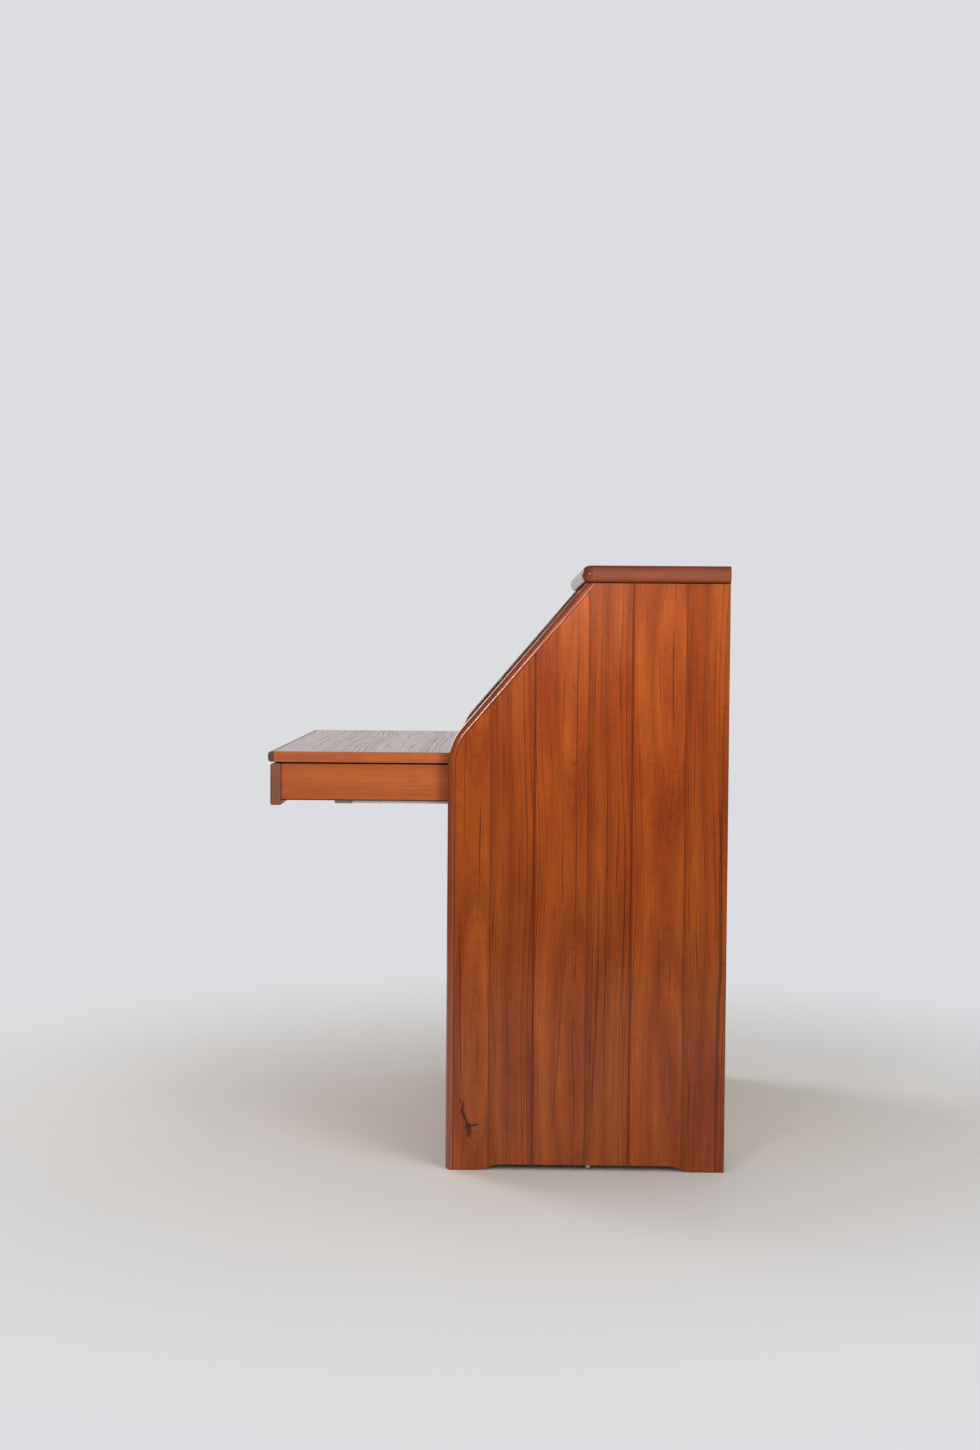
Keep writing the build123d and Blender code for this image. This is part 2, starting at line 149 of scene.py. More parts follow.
def vein_pattern(tree, place, along, bent):
    """A few thin dark veins that run with the grain, wander a little and fade in and out."""
    drift = grain_noise(tree, place, along, vein_wave, detail=1.0)
    moved = node(tree, "ShaderNodeMath", {0: drift, 1: vein_drift, 2: bent.outputs[0]},
                 operation="MULTIPLY_ADD")
    rows = node(tree, "ShaderNodeMath", {0: moved.outputs[0], 1: vein_spacing}, operation="DIVIDE")
    in_row = node(tree, "ShaderNodeMath", {0: rows.outputs[0]}, operation="FRACT")
    row_number = node(tree, "ShaderNodeMath", {0: rows.outputs[0]}, operation="FLOOR")
    thin = node(tree, "ShaderNodeValToRGB", {0: in_row.outputs[0]})
    fill_ramp(thin, vein_profile)
    chance = node(tree, "ShaderNodeTexWhiteNoise", {"W": row_number.outputs[0]},
                  noise_dimensions="1D")
    chosen = node(tree, "ShaderNodeMapRange", {"Value": chance.outputs[0], "From Min": bare_rows})
    pieces = grain_noise(tree, place, along, vein_piece, detail=0.0)
    fading = node(tree, "ShaderNodeMapRange", {"Value": pieces, "From Min": 0.42, "From Max": 0.62})
    shown = node(tree, "ShaderNodeMath", {0: chosen.outputs[0], 1: fading.outputs[0]},
                 operation="MULTIPLY")
    veins = node(tree, "ShaderNodeMath", {0: thin.outputs[0], 1: shown.outputs[0]},
                 operation="MULTIPLY")
    return veins.outputs[0]


print("veins stand", round(vein_spacing / millimetre, 1), "mm apart")

# %% The ring pattern of a slice of wood
ring_width = 4.6 * millimetre
ring_profile = ((0.0, 0.2), (0.08, 0.0), (0.6, 0.05), (0.8, 0.35), (0.87, 1.0), (0.96, 1.0))
weak_line_power = 1.3
leaf_width = 174 * millimetre
leaf_slip = 0.45  # radians of sway, from one leaf to the next
crown_place = 150 * millimetre
crown_open = 30 * millimetre
crown_reach = 80 * millimetre
crown_lines = 0.22
heart_depth = 30 * millimetre
heart_sway = 14 * millimetre
sway_length = 720 * millimetre
bend_size = 10 * millimetre
bend_wave = (420 * millimetre, 90 * millimetre)
band_width = 26 * millimetre
edge_facing = 0.7


def ring_pattern(tree, place, along, across, leaf_edge, sway_peak, sway):
    """Rings on sliced leaves: returns the place in the leaf, the line strength and the broad bands.

    On a board's edge the lines count through its thickness instead of across its width.
    """
    split = node(tree, "ShaderNodeSeparateXYZ", {0: place.outputs["Object"]})
    on_edge = node(tree, "ShaderNodeMath", {0: facing_share(tree, place, across), 1: edge_facing},
                   operation="GREATER_THAN")
    thick = "XYZ".replace(along, "").replace(across, "")
    width = node(tree, "ShaderNodeMix", {"Factor": on_edge.outputs[0], "A": split.outputs[across],
                                         "B": split.outputs[thick]})
    shifted = node(tree, "ShaderNodeMath", {0: width.outputs[0], 1: leaf_edge},
                   operation="SUBTRACT")
    in_leaf = node(tree, "ShaderNodeMath", {0: shifted.outputs[0], 1: leaf_width},
                   operation="FLOORED_MODULO")
    leaf_share = node(tree, "ShaderNodeMath", {0: shifted.outputs[0], 1: leaf_width},
                      operation="DIVIDE")
    leaf_number = node(tree, "ShaderNodeMath", {0: leaf_share.outputs[0]}, operation="FLOOR")
    leaf_place = node(tree, "ShaderNodeMath", {0: leaf_share.outputs[0]}, operation="FRACT")

    bend = grain_noise(tree, place, along, bend_wave, detail=2.0)
    bent = node(tree, "ShaderNodeMath", {0: bend, 1: bend_size, 2: in_leaf.outputs[0]},
                operation="MULTIPLY_ADD")
    offset = node(tree, "ShaderNodeMath", {0: bent.outputs[0], 1: crown_place + bend_size / 2},
                  operation="SUBTRACT")

    turns = node(tree, "ShaderNodeMath", {0: split.outputs[along], 1: sway_peak},
                 operation="SUBTRACT")
    slip = node(tree, "ShaderNodeMath", {0: leaf_number.outputs[0], 1: leaf_slip},
                operation="MULTIPLY")
    angle = node(tree, "ShaderNodeMath", {0: turns.outputs[0], 1: math.tau / sway_length,
                                          2: slip.outputs[0]}, operation="MULTIPLY_ADD")
    wave = node(tree, "ShaderNodeMath", {0: angle.outputs[0]}, operation="COSINE")
    heart = node(tree, "ShaderNodeMath", {0: wave.outputs[0], 1: -sway, 2: heart_depth},
                 operation="MULTIPLY_ADD")
    offset_squared = node(tree, "ShaderNodeMath", {0: offset.outputs[0], 1: 2.0}, operation="POWER")
    squared = node(tree, "ShaderNodeMath", {0: heart.outputs[0], 1: heart.outputs[0],
                                            2: offset_squared.outputs[0]}, operation="MULTIPLY_ADD")
    radius = node(tree, "ShaderNodeMath", {0: squared.outputs[0]}, operation="SQRT")
    rings = node(tree, "ShaderNodeMath", {0: radius.outputs[0], 1: ring_width}, operation="DIVIDE")
    in_ring = node(tree, "ShaderNodeMath", {0: rings.outputs[0]}, operation="FRACT")
    ring_number = node(tree, "ShaderNodeMath", {0: rings.outputs[0]}, operation="FLOOR")

    profile = node(tree, "ShaderNodeValToRGB", {0: in_ring.outputs[0]})
    fill_ramp(profile, ring_profile)
    chance = node(tree, "ShaderNodeTexWhiteNoise", {"W": ring_number.outputs[0]},
                  noise_dimensions="1D")
    strong = node(tree, "ShaderNodeMath", {0: chance.outputs[0], 1: weak_line_power},
                  operation="POWER")
    drawn = node(tree, "ShaderNodeMath", {0: profile.outputs[0], 1: strong.outputs[0]},
                 operation="MULTIPLY")
    away = node(tree, "ShaderNodeMath", {0: offset.outputs[0]}, operation="ABSOLUTE")
    straight = node(tree, "ShaderNodeMapRange", {"Value": away.outputs[0], "From Min": crown_open,
                                                 "From Max": crown_reach, "To Min": crown_lines})
    lines = node(tree, "ShaderNodeMath", {0: drawn.outputs[0], 1: straight.outputs[0]},
                 operation="MULTIPLY")
    all_lines = node(tree, "ShaderNodeMath", {0: lines.outputs[0],
                                              1: vein_pattern(tree, place, along, bent)},
                     operation="MAXIMUM")
    band_place = node(tree, "ShaderNodeMath", {0: radius.outputs[0], 1: band_width},
                      operation="DIVIDE")
    bands = node(tree, "ShaderNodeTexNoise", {"W": band_place.outputs[0], "Scale": 1.0,
                                              "Detail": 1.0}, noise_dimensions="1D")
    return leaf_place.outputs[0], all_lines.outputs[0], bands.outputs[0]


print("about", round(leaf_width / ring_width), "rings across a veneer leaf")

# %% [markdown]
# ## From rings to a finished wood
#
# The rings only say where the wood is early or late. The finish mixes four tones by them: a light
# tone for the open crown, a middle tone, a dark tone for bands of slow growth and a darker one for
# the lines. Fine fibres and a faint cross ripple are laid over that, as a planed and oiled board
# has. The end of a board shows cut fibres that drink the oil and go dark, so where the face looks
# along the grain the colour turns to the end-grain tone. One function makes all the woods, because
# teak, beech and plywood differ in their tones and in how strongly their lines show, and not in how
# they grow.

# %% One function for every wood
cloud_size = (300 * millimetre, 55 * millimetre)
fibre_size = (60 * millimetre, 1.6 * millimetre)
ripple_size = (5 * millimetre, 16 * millimetre)
ripple_strength = 0.4
fibre_dullness = 0.08
fibre_relief = 0.12
fibre_depth = 0.3 * millimetre


def wood(name, along, across, tones, leaf_edge, sway_peak, sway=heart_sway, lines=1.0,
         roughness=0.3, shine=0.22, leaf_tone=None, pores=0.0):
    """A wood with its grain along one axis. Tones: light, middle, dark, line, end grain.

    leaf_edge is where a leaf starts across the board, and sway_peak where its arches close.
    """
    material, tree, shader, place = start_material(name)
    light, middle, dark, line, end = [linear(tone) for tone in tones]
    leaf_place, ring_lines, bands = ring_pattern(tree, place, along, across, leaf_edge, sway_peak,
                                                 sway)

    cloud = grain_noise(tree, place, along, cloud_size, detail=3.0)
    spread = node(tree, "ShaderNodeMapRange", {"Value": cloud, "From Min": 0.3, "From Max": 0.7})
    board = node(tree, "ShaderNodeMix", {"Factor": spread.outputs[0], "A": middle, "B": light},
                 data_type="RGBA")
    slow = node(tree, "ShaderNodeMapRange", {"Value": bands, "From Min": 0.45, "From Max": 0.8,
                                             "To Max": 0.75})
    banded = node(tree, "ShaderNodeMix", {"Factor": slow.outputs[0], "A": board.outputs["Result"],
                                          "B": dark}, data_type="RGBA")
    colour = banded.outputs["Result"]
    if leaf_tone:
        toned = node(tree, "ShaderNodeValToRGB", {0: leaf_place})
        fill_ramp(toned, leaf_tone)
        leaf_mix = node(tree, "ShaderNodeMix", {"Factor": toned.outputs[0], "A": colour, "B": dark},
                        data_type="RGBA")
        colour = leaf_mix.outputs["Result"]

    line_share = node(tree, "ShaderNodeMath", {0: ring_lines, 1: lines}, operation="MULTIPLY")
    lined = node(tree, "ShaderNodeMix", {"Factor": line_share.outputs[0], "A": colour, "B": line},
                 data_type="RGBA")

    fibre = grain_noise(tree, place, along, fibre_size, detail=3.0)
    ripple = grain_noise(tree, place, along, ripple_size, detail=2.0)
    figure = node(tree, "ShaderNodeMath", {0: ripple, 1: noise_middle}, operation="SUBTRACT")
    texture = node(tree, "ShaderNodeMath", {0: figure.outputs[0], 1: ripple_strength * lines,
                                            2: fibre}, operation="MULTIPLY_ADD")
    tint = node(tree, "ShaderNodeMapRange", {"Value": texture.outputs[0], "From Min": 0.22,
                                             "From Max": 0.78, "To Min": 0.76, "To Max": 1.22})
    fibred = node(tree, "ShaderNodeMix", {"Factor": 1.0, "A": lined.outputs["Result"],
                                          "B": tint.outputs[0]},
                  data_type="RGBA", blend_type="MULTIPLY")
    cut_end = node(tree, "ShaderNodeMapRange", {"Value": facing_share(tree, place, along),
                                                "From Min": 0.55, "From Max": 0.9})
    ended = node(tree, "ShaderNodeMix", {"Factor": cut_end.outputs[0],
                                         "A": fibred.outputs["Result"], "B": end}, data_type="RGBA")
    tree.links.new(ended.outputs["Result"], shader.inputs["Base Color"])

    dull = node(tree, "ShaderNodeMapRange", {"Value": fibre, "To Min": roughness + fibre_dullness,
                                             "To Max": roughness - fibre_dullness})
    dullness = dull.outputs[0]
    if pores:
        dull_lines = node(tree, "ShaderNodeMath", {0: ring_lines, 1: pores, 2: dullness},
                          operation="MULTIPLY_ADD")
        dullness = dull_lines.outputs[0]
    tree.links.new(dullness, shader.inputs["Roughness"])
    relief = node(tree, "ShaderNodeBump", {"Height": fibre, "Strength": fibre_relief,
                                           "Distance": fibre_depth})
    tree.links.new(relief.outputs[0], shader.inputs["Normal"])
    shader.inputs["Specular IOR Level"].default_value = shine
    return material


teak_tones = ("#AE561A", teak_middle, "#702C0B", "#2E0C04", "#63301F")
solid_tones = ("#A04D24", "#90421E", "#793618", "#572410", "#5C3026")
beech_tones = ("#D9B184", "#CBA074", "#BC8E62", "#A87A50", "#B58C66")
plywood_tones = ("#D8BC92", "#CDAE82", "#BE9C70", "#A98558", "#9C7A52")
print("wood recipe ready for", len(teak_tones), "tones")

# %% [markdown]
# ## The side panel's own veneer
#
# The panel is what one sees first. Its leaves stand upright and start 76 mm behind the front edge.
# In each leaf a dark band follows the joint, close lines fill the first half, one strong dark line
# ends them, and the crown half is open and light. A colour ramp across the leaf says just that. The
# right panel also has a hooked mineral streak near the front foot, a dark stain from the tree's
# life, and a few long veins. They could be painted by hand, but ellipses in the panel's own
# coordinates are enough: short ones with ragged edges for the streak, and long thin ones that drift
# slowly for the veins. The groove beside the lipping is painted nearly black, as painted shade in
# the recess. The groove's wall is the only face that looks half sideways, so its normal finds it.

# %% Veneer of the side panels
panel_low, panel_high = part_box("side_panel_right")
panel_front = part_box("side_lipping_right")[0].y
first_leaf_edge = panel_front + 76 * millimetre
panel_leaf_tone = ((0.0, 0.95), (0.02, 0.6), (0.08, 0.3), (0.3, 0.2), (0.44, 0.35), (0.452, 1.0),
                   (0.468, 1.0), (0.48, 0.1), (0.6, 0.0), (1.0, 0.0))
# Painted shade: the near-black tone of the groove beside the lipping and of the drawer sides' joint
# lines
painted_joint_shade = "#1E0A04"
groove_facing = 0.7
groove_tolerance = 0.2


def lay_over(material, share, tone):
    """Mixes a tone over a material's colour."""
    tree = material.node_tree
    shader = tree.nodes["Principled BSDF"]
    under = shader.inputs["Base Color"].links[0].from_socket
    mixed = node(tree, "ShaderNodeMix", {"Factor": share, "A": under, "B": linear(tone)},
                 data_type="RGBA")
    tree.links.new(mixed.outputs["Result"], shader.inputs["Base Color"])


def darken_joint(material):
    """Painted shade in the groove beside the lipping: its wall is the only face that looks half
    sideways.
    """
    tree = material.node_tree
    coordinates = node(tree, "ShaderNodeTexCoord")
    groove = node(tree, "ShaderNodeMath", {0: facing_share(tree, coordinates, "X"),
                                           1: groove_facing, 2: groove_tolerance},
                  operation="COMPARE")
    lay_over(material, groove.outputs[0], painted_joint_shade)


def panel_veneer(name):
    """The veneer of one side panel, with its groove painted dark as shade."""
    material = wood(name, "Z", "Y", teak_tones, leaf_edge=first_leaf_edge, sway_peak=0.93,
                    roughness=0.2, shine=0.35, leaf_tone=panel_leaf_tone)
    darken_joint(material)
    return material


right_veneer = panel_veneer("oiled_teak_veneer_right_panel")
left_veneer = panel_veneer("oiled_teak_veneer_left_panel")
print("first leaf joint at", round(first_leaf_edge, 4), "m")

# %% Mineral streak and veins of the right panel
mineral_stain = "#2C130B"
streak_reach = Vector((0.0, 14 * millimetre, 30 * millimetre))
ragged = 14 * millimetre
slow_drift = 150 * millimetre
# Each: depth behind the front edge, height, width and length in mm, lean in degrees, the size of
# its wander, and how dark it gets
streaks = (
    (36, 92, 4.5, 56, 16, ragged, 0.9),
    (44, 79, 5.0, 16, 14, ragged, 0.9),
    (53, 82, 3.8, 17, -52, ragged, 0.9),
    (25, 290, 2.2, 230, 0.5, slow_drift, 0.65),
    (202, 235, 1.9, 240, -4, slow_drift, 0.55),
    (268, 270, 2.2, 300, -1.5, slow_drift, 0.6),
    (285, 420, 1.7, 420, -0.6, slow_drift, 0.5),
    (317, 330, 1.7, 380, -0.5, slow_drift, 0.5),
    (489, 380, 6.0, 620, -0.4, slow_drift, 0.5),
)


def add_streak(material, place, size, lean, wander, most):
    """A dark streak or vein: an ellipse in the panel's coordinates, whose line wanders a little."""
    tree = material.node_tree
    coordinates = node(tree, "ShaderNodeTexCoord")
    rough_edge = node(tree, "ShaderNodeTexNoise", {"Vector": coordinates.outputs["Object"],
                                                   "Scale": 1 / wander, "Detail": 3.0})
    nudge = node(tree, "ShaderNodeVectorMath", {0: rough_edge.outputs["Color"],
                                                1: Vector((noise_middle,) * 3)},
                 operation="SUBTRACT")
    moved = node(tree, "ShaderNodeVectorMath", {0: nudge.outputs[0], 1: streak_reach,
                                                2: coordinates.outputs["Object"]},
                 operation="MULTIPLY_ADD")
    ellipse = node(tree, "ShaderNodeMapping", {"Vector": moved.outputs[0], "Location": place,
                                               "Rotation": Vector((lean, 0.0, 0.0)), "Scale": size},
                   vector_type="TEXTURE")
    spot = node(tree, "ShaderNodeTexGradient", {"Vector": ellipse.outputs[0]},
                gradient_type="SPHERICAL")
    share = node(tree, "ShaderNodeMapRange", {"Value": spot.outputs[1], "From Min": 0.1,
                                              "From Max": 0.6, "To Max": most})
    lay_over(material, share.outputs[0], mineral_stain)


for depth, height, width, length, lean, wander, most in streaks:
    place = Vector((panel_high.x, panel_front + depth * millimetre, height * millimetre))
    size = Vector((1.0, width * millimetre, length * millimetre))
    add_streak(right_veneer, place, size, math.radians(lean), wander, most)
print("streaks and veins:", len(streaks))

# %% [markdown]
# ## The other woods
#
# Every other board takes the same recipe with its grain turned the way a joiner would cut it: boards
# that span the desk have it across, drawer sides have it front to back, and dividers stand upright.
# The solid edges are cut from darker, plainer teak. The lipping follows the slope, and with its low
# contrast the eye doesn't ask for more than a reddish edge. The writing drawer's sides get a line of
# painted shade where they meet the front and along the bottom edge, where shade falls in the joint
# and
# under the side: a ramp along one axis draws it. Beech makes the drawers' hidden sides, as it is
# hard and cheap, and thin birch plywood their bottoms and the back.

# %% Teak boards and drawers
pale_teak_tones = ("#B8602F", "#A85426", "#96481F", "#7A3818", "#6A3826")
front_end_tones = teak_tones[:4] + ("#84503F",)
nearly_straight = 4 * millimetre
side_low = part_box("writing_drawer_side_right")[0]
line_strength = 0.9
# Painted shade lines on the writing drawer's side: at its joint with the front and along its bottom
# edge
side_lines = (
    ("Y", side_low.y + 1.6 * millimetre, side_low.y + 0.8 * millimetre),
    ("Z", side_low.z + 2.6 * millimetre, side_low.z + 1.4 * millimetre),
)


def draw_line(material, axis, clear, full):
    """Paints shade on a board towards one of its edges: none up to one place, most from another on.
    """
    tree = material.node_tree
    coordinates = node(tree, "ShaderNodeTexCoord")
    split = node(tree, "ShaderNodeSeparateXYZ", {0: coordinates.outputs["Object"]})
    share = node(tree, "ShaderNodeMapRange", {"Value": split.outputs[axis], "From Min": clear,
                                              "From Max": full, "To Max": line_strength})
    lay_over(material, share.outputs[0], painted_joint_shade)


board_teak = wood("oiled_teak_veneer_boards", "X", "Y", teak_tones, leaf_edge=0.03, sway_peak=0.1,
                  roughness=0.32)
flap_teak = wood("oiled_teak_veneer_flap", "X", "Y", teak_tones, leaf_edge=0.03, sway_peak=0.1,
                 roughness=0.2, shine=0.65, pores=0.36)
front_teak = wood("oiled_teak_veneer_fronts", "X", "Z", teak_tones, leaf_edge=0.0, sway_peak=0.2)
side_teak = wood("oiled_teak_drawer_sides", "Y", "Z", pale_teak_tones, leaf_edge=0.6, sway_peak=0.0,
                 sway=nearly_straight, lines=0.55)
for axis, clear, full in side_lines:
    draw_line(side_teak, axis, clear, full)
divider_teak = wood("oiled_teak_dividers", "Z", "Y", teak_tones, leaf_edge=0.01, sway_peak=0.5)
front_edge_teak = wood("solid_teak_drawer_front", "X", "Z", front_end_tones, leaf_edge=0.0,
                       sway_peak=0.2)
print("lines on the drawer sides:", len(side_lines))

# %% Solid teak edges
edge_teak_tones = ("#BB6538", "#AC5A30", "#984A26", "#7C3A1C", "#6A3826")
nosing_tones = ("#884325", "#783920", "#652D18", "#4A1F10", "#6E361F")
flap_tip_tones = nosing_tones[:4] + ("#62423C",)

lipping_teak = wood("solid_teak_lippings", "Z", "Y", solid_tones, leaf_edge=0.0, sway_peak=0.5,
                    sway=nearly_straight, lines=0.4, roughness=0.14, shine=0.8)
nosing_across = wood("solid_teak_across", "X", "Y", nosing_tones, leaf_edge=0.02, sway_peak=0.0,
                     sway=nearly_straight, lines=0.5, roughness=0.24, shine=0.5)
nosing_along = wood("solid_teak_front_to_back", "Y", "Z", nosing_tones, leaf_edge=0.02,
                    sway_peak=0.0, sway=nearly_straight, lines=0.6, roughness=0.5, shine=0.5)
flap_tip_teak = wood("solid_teak_flap_tip", "X", "Y", flap_tip_tones, leaf_edge=0.02, sway_peak=0.0,
                     sway=nearly_straight, lines=0.5)
flap_edge_teak = wood("solid_teak_flap_edges", "Y", "Z", edge_teak_tones, leaf_edge=0.7,
                      sway_peak=0.0, sway=nearly_straight, lines=0.45)
print("solid edges:", lipping_teak.name, nosing_across.name, nosing_along.name, flap_tip_teak.name,
      flap_edge_teak.name)

# %% Beech and plywood
beech_long = wood("lacquered_beech_front_to_back", "Y", "Z", beech_tones, leaf_edge=0.0,
                  sway_peak=0.1, sway=nearly_straight, lines=0.35)
beech_across = wood("lacquered_beech_across", "X", "Z", beech_tones, leaf_edge=0.0,
                    sway_peak=0.1, sway=nearly_straight, lines=0.35)
plywood_flat = wood("birch_plywood_bottoms", "X", "Y", plywood_tones, leaf_edge=0.05, sway_peak=0.1,
                    lines=0.35, roughness=0.55)
plywood_back = wood("birch_plywood_back", "Z", "X", plywood_tones, leaf_edge=0.05, sway_peak=0.4,
                    lines=0.35, roughness=0.55)
print("hidden woods:", beech_long.name, beech_across.name, plywood_flat.name, plywood_back.name)

# %% [markdown]
# ## Metal, nylon and felt
#
# The slides are folded from zinc-plated sheet, pale grey and a little cloudy. The hinges and knobs
# are brass that has gone slightly brown. The slides' shoes are grey nylon, which is dull and waxy,
# their balls are polished steel, and the pads are green felt, whose loose fibres scatter light at
# the edges. Metal takes its colour from the mirror image, so these need only a tint, a roughness and
# a little unevenness. The zinc is dull with age, so it is only partly metallic.

# %% Metal, nylon and felt
cloud_relief = 0.1
cloud_depth = 0.2 * millimetre


def cloudy(name, first, second, cloud, metallic, roughness, unevenness):
    """A surface of two close tones in soft clouds, with roughness that varies in the same clouds."""
    material, tree, shader, place = start_material(name)
    clouds = node(tree, "ShaderNodeTexNoise", {"Vector": place.outputs["Object"],
                                               "Scale": 1 / cloud, "Detail": 4.0})
    tone = node(tree, "ShaderNodeMix", {"Factor": clouds.outputs[0], "A": linear(first),
                                        "B": linear(second)}, data_type="RGBA")
    tree.links.new(tone.outputs["Result"], shader.inputs["Base Color"])
    dull = node(tree, "ShaderNodeMapRange", {"Value": clouds.outputs[0],
                                             "To Min": roughness - unevenness,
                                             "To Max": roughness + unevenness})
    tree.links.new(dull.outputs[0], shader.inputs["Roughness"])
    relief = node(tree, "ShaderNodeBump", {"Height": clouds.outputs[0], "Strength": cloud_relief,
                                           "Distance": cloud_depth})
    tree.links.new(relief.outputs[0], shader.inputs["Normal"])
    shader.inputs["Metallic"].default_value = metallic
    return material


zinc = cloudy("zinc_plated_sheet", "#E2E0D6", "#CFCDC4", cloud=9 * millimetre, metallic=0.3,
              roughness=0.38, unevenness=0.1)
brass = cloudy("satin_brass", "#C9A45C", "#A9843F", cloud=6 * millimetre, metallic=1.0,
               roughness=0.3, unevenness=0.08)
nickel = cloudy("nickel_plated_steel", "#D6D3CC", "#BDB8AE", cloud=5 * millimetre, metallic=1.0,
                roughness=0.2, unevenness=0.06)
steel = cloudy("polished_steel", "#F6F5F0", "#E4E2DC", cloud=5 * millimetre, metallic=1.0,
               roughness=0.16, unevenness=0.05)
nylon = cloudy("grey_nylon", "#8F928B", "#7D807A", cloud=7 * millimetre, metallic=0.0,
               roughness=0.42, unevenness=0.06)
felt = cloudy("green_felt", "#2F4A36", "#223A2A", cloud=1.2 * millimetre, metallic=0.0,
              roughness=0.95, unevenness=0.04)
felt.node_tree.nodes["Principled BSDF"].inputs["Sheen Weight"].default_value = 0.5
print("finishes:", zinc.name, brass.name, nickel.name, steel.name, nylon.name, felt.name)

# %% [markdown]
# ## Give each board its finish
#
# A node's finish sits in its material slot, so dressing the desk is a matter of filling slots by
# name. The list is ordered from the particular to the general, and the first name that fits a node
# wins.

# %% Dress the nodes
finishes = (
    ("side_panel_right", right_veneer), ("side_panel_left", left_veneer),
    ("side_lipping", lipping_teak), ("top_core", board_teak), ("top_front_nosing", nosing_across),
    ("top_side", nosing_along), ("flap_core", flap_teak), ("flap_side", flap_edge_teak),
    ("flap_tip", flap_tip_teak), ("flap_rest_pads", felt), ("writing_bed", board_teak),
    ("writing_drawer_side", side_teak), ("writing_drawer_front", front_edge_teak),
    ("slide_shoes", nylon), ("slide", zinc), ("hinge", brass), ("bay_divider", divider_teak),
    ("back_panel", plywood_back), ("lower_drawer_runners", beech_long),
)
by_ending = (
    ("_knob", brass), ("_tray", beech_long), ("_bottom", plywood_flat), ("_back", beech_across),
    ("_side_left", beech_long), ("_side_right", beech_long), ("_front", front_teak),
)
across_boards = ("carcass_top", "drawer_deck", "bottom_board", "drawer_shelf", "letter_shelf")


def finish_for(name):
    """The finish of a node: by the start of its name, by its ending, or as a board."""
    for start, material in finishes:
        if name.startswith(start):
            return material
    for ending, material in by_ending:
        if name.endswith(ending):
            return material
    return board_teak if name.startswith(across_boards) else front_teak


for name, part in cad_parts.items():
    part.data.materials.clear()
    part.data.materials.append(finish_for(name))
print("dressed:", len(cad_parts))

# %% [markdown]
# ## A screw head, modelled once
#
# Two flush hinges carry the flap, each held by six brass screws with raised, slotted heads. The same
# head in zinc holds the back. A raised head is a shallow dome: half a sphere, pressed flat, with a
# slot sawn across it. We could spin a profile, but a sphere that is cut in two and squashed is
# quicker, and a boolean saws the slot as a slitting saw does. One head is modelled at the origin,
# and every screw is a copy of it.

# %% One slotted screw head
origin = (0.0, 0.0, 0.0)


def half_ball(radius, rise):
    """The upper half of a ball, squashed to the given rise, lying on the origin."""
    bpy.ops.object.select_all(action="DESELECT")
    bpy.ops.mesh.primitive_uv_sphere_add(segments=24, ring_count=12, radius=1.0, location=origin)
    bpy.ops.object.mode_set(mode="EDIT")
    bpy.ops.mesh.select_all(action="SELECT")
    bpy.ops.mesh.bisect(plane_co=origin, plane_no=(0.0, 0.0, 1.0), use_fill=True, clear_inner=True)
    bpy.ops.mesh.select_all(action="SELECT")
    bpy.ops.transform.resize(value=(radius, radius, rise), center_override=origin)
    bpy.ops.object.mode_set(mode="OBJECT")
    return bpy.context.object


screw_radius = 2.7 * millimetre
screw_rise = 0.8 * millimetre
slot_width = 0.7 * millimetre
slot_height = 0.8 * screw_rise
saw_length = 3 * screw_radius
screw = half_ball(screw_radius, screw_rise)
bpy.ops.object.select_all(action="DESELECT")
bpy.ops.mesh.primitive_cube_add(size=1.0, location=origin)
saw = bpy.context.object
bpy.ops.object.mode_set(mode="EDIT")
bpy.ops.transform.resize(value=(saw_length, slot_width, screw_rise), center_override=origin)
bpy.ops.transform.translate(value=(0.0, 0.0, slot_height))
bpy.ops.object.mode_set(mode="OBJECT")
bpy.context.view_layer.objects.active = screw
cut = screw.modifiers.new("slot", "BOOLEAN")
cut.object = saw
cut.operation = "DIFFERENCE"
bpy.ops.object.modifier_apply(modifier="slot")
bpy.data.objects.remove(saw)
print("screw head faces:", len(screw.data.polygons))

# %% [markdown]
# ## Put the screws in place
#
# Each copy has its own mesh, moved to its place by a matrix, so every object stays at the origin.
# The slots end up at odd angles, as nobody lines them up. A screw rides on the part that it is
# driven into: half of the hinge screws go with the flap. The back's screws stand over the edges of
# the boards they bite into.


# %% Hinge screws
def lay_copy(pattern, name, where, body, material):
    """Copies a pattern's mesh to a place, dresses it and lets it ride on a body."""
    copy = pattern.copy()
    copy.data = pattern.data.copy()
    copy.name = name
    copy.data.transform(where)
    copy.data.materials.clear()
    copy.data.materials.append(material)
    bpy.context.scene.collection.objects.link(copy)
    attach(copy, body)


def turned_by(degrees, axis):
    """A turn about one axis."""
    return Matrix.Rotation(math.radians(degrees), 4, axis)


pin_low, pin_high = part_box("hinge_pins")
pin_line = (pin_low + pin_high) / 2
hinge_centre = pin_high.x - 25 * millimetre
screw_offset = 13 * millimetre
screw_spacing = 17 * millimetre
hinge_slot_turn = 37
hinge_screws = 0
for body, side in (("case", 1), ("flap", -1)):
    for centre in (-hinge_centre, hinge_centre):
        for step in (-1, 0, 1):
            hinge_screws += 1
            place = Vector((centre + step * screw_spacing, pin_line.y + side * screw_offset,
                            pin_line.z))
            where = Matrix.Translation(place) @ turned_by(hinge_slot_turn * hinge_screws, "Z")
            lay_copy(screw, f"hinge_screw_{hinge_screws}", where, body, brass)
print("hinge screws:", hinge_screws)

